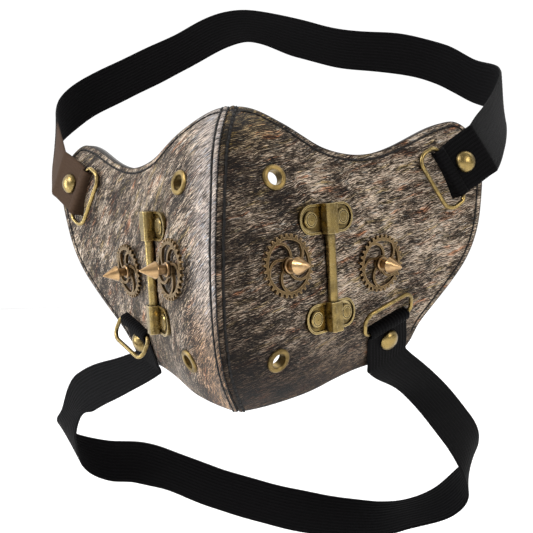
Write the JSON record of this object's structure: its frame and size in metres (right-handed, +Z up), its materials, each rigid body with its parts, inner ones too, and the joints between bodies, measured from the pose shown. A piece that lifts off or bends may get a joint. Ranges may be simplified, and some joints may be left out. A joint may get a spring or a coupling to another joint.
{
  "type": "half mask",
  "caption": "Ridge-nosed half mask in two stitched leather panels with brass gears, spikes, rods and two elastic head straps on swinging rings.",
  "frame": {"origin": "middle of the face opening behind the mask, level with the gears, at mount face_seat", "axes": "+Z up, -Y straight ahead out of the nose ridge, +X to the wearer's left"},
  "size_m": [0.266, 0.2096, 0.3385],
  "materials": {
    "shell_leather": "satin",
    "lining_cloth": "matte",
    "elastic_webbing": "matte",
    "screw_steel": "satin",
    "gear_brass": "antiqued",
    "antique_brass": "antiqued"
  },
  "bodies": {
    "mask": {"chin_eyelet_left": "antique_brass", "chin_eyelet_right": "antique_brass", "chin_eyelet_washer_left": "antique_brass", "chin_eyelet_washer_right": "antique_brass", "front_spike_left": "antique_brass", "front_spike_right": "antique_brass", "front_spike_screw_left": "screw_steel", "front_spike_screw_right": "screw_steel", "lining_left": "lining_cloth", "lining_right": "lining_cloth", "lower_saddle_left": "antique_brass", "lower_saddle_right": "antique_brass", "lower_saddle_rivet_caps_left": "antique_brass", "lower_saddle_rivet_caps_right": "antique_brass", "lower_saddle_rivets_left": "antique_brass", "lower_saddle_rivets_right": "antique_brass", "lower_strap": "elastic_webbing", "lower_strap_rivet_cap_left": "antique_brass", "lower_strap_rivet_cap_right": "antique_brass", "lower_strap_rivet_left": "antique_brass", "lower_strap_rivet_right": "antique_brass", "nose_eyelet_left": "antique_brass", "nose_eyelet_right": "antique_brass", "nose_eyelet_washer_left": "antique_brass", "nose_eyelet_washer_right": "antique_brass", "outer_panel_left": "shell_leather", "outer_panel_right": "shell_leather", "rear_spike_left": "antique_brass", "rear_spike_right": "antique_brass", "rear_spike_screw_left": "screw_steel", "rear_spike_screw_right": "screw_steel", "rod_left": "antique_brass", "rod_right": "antique_brass", "upper_saddle_left": "antique_brass", "upper_saddle_right": "antique_brass", "upper_saddle_rivet_caps_left": "antique_brass", "upper_saddle_rivet_caps_right": "antique_brass", "upper_saddle_rivets_left": "antique_brass", "upper_saddle_rivets_right": "antique_brass", "upper_strap": "elastic_webbing", "upper_strap_rivet_cap_left": "antique_brass", "upper_strap_rivet_cap_right": "antique_brass", "upper_strap_rivet_left": "antique_brass", "upper_strap_rivet_right": "antique_brass"},
    "front_gear_left": {"front_gear_left": "gear_brass"},
    "front_gear_right": {"front_gear_right": "gear_brass"},
    "rear_gear_left": {"rear_gear_left": "gear_brass"},
    "rear_gear_right": {"rear_gear_right": "gear_brass"},
    "upper_ring_left": {"upper_ring_left": "antique_brass"},
    "upper_ring_right": {"upper_ring_right": "antique_brass"},
    "lower_ring_left": {"lower_ring_left": "antique_brass"},
    "lower_ring_right": {"lower_ring_right": "antique_brass"}
  },
  "joints": [
    {"name": "front_gear_left_spin", "type": "hinge", "parent": "mask", "child": "front_gear_left", "pos_m": [0.02398, -0.0753, 0.00015], "axis": [0.7535, -0.6565, -0.0354], "continuous": true},
    {"name": "front_gear_right_spin", "type": "hinge", "parent": "mask", "child": "front_gear_right", "pos_m": [-0.02398, -0.0753, 0.00015], "axis": [0.7535, 0.6565, 0.0354], "continuous": true},
    {"name": "rear_gear_left_spin", "type": "hinge", "parent": "mask", "child": "rear_gear_left", "pos_m": [0.05773, -0.03337, 0.00107], "axis": [0.715, -0.6765, -0.1762], "continuous": true},
    {"name": "rear_gear_right_spin", "type": "hinge", "parent": "mask", "child": "rear_gear_right", "pos_m": [-0.05773, -0.03337, 0.00107], "axis": [0.715, 0.6765, 0.1762], "continuous": true},
    {"name": "upper_ring_left_swing", "type": "hinge", "parent": "mask", "child": "upper_ring_left", "pos_m": [0.08936, -0.01606, 0.04123], "axis": [-0.4717, -0.2722, 0.8387], "range_deg": [-1, 145]},
    {"name": "upper_ring_right_swing", "type": "hinge", "parent": "mask", "child": "upper_ring_right", "pos_m": [-0.08936, -0.01606, 0.04123], "axis": [-0.4717, 0.2722, -0.8387], "range_deg": [-1, 145]},
    {"name": "lower_ring_left_swing", "type": "hinge", "parent": "mask", "child": "lower_ring_left", "pos_m": [0.05988, -0.02165, -0.02568], "axis": [0.7146, 0.5864, 0.3813], "range_deg": [-1, 145]},
    {"name": "lower_ring_right_swing", "type": "hinge", "parent": "mask", "child": "lower_ring_right", "pos_m": [-0.05988, -0.02165, -0.02568], "axis": [0.7146, -0.5864, -0.3813], "range_deg": [-138, 8]}
  ]
}
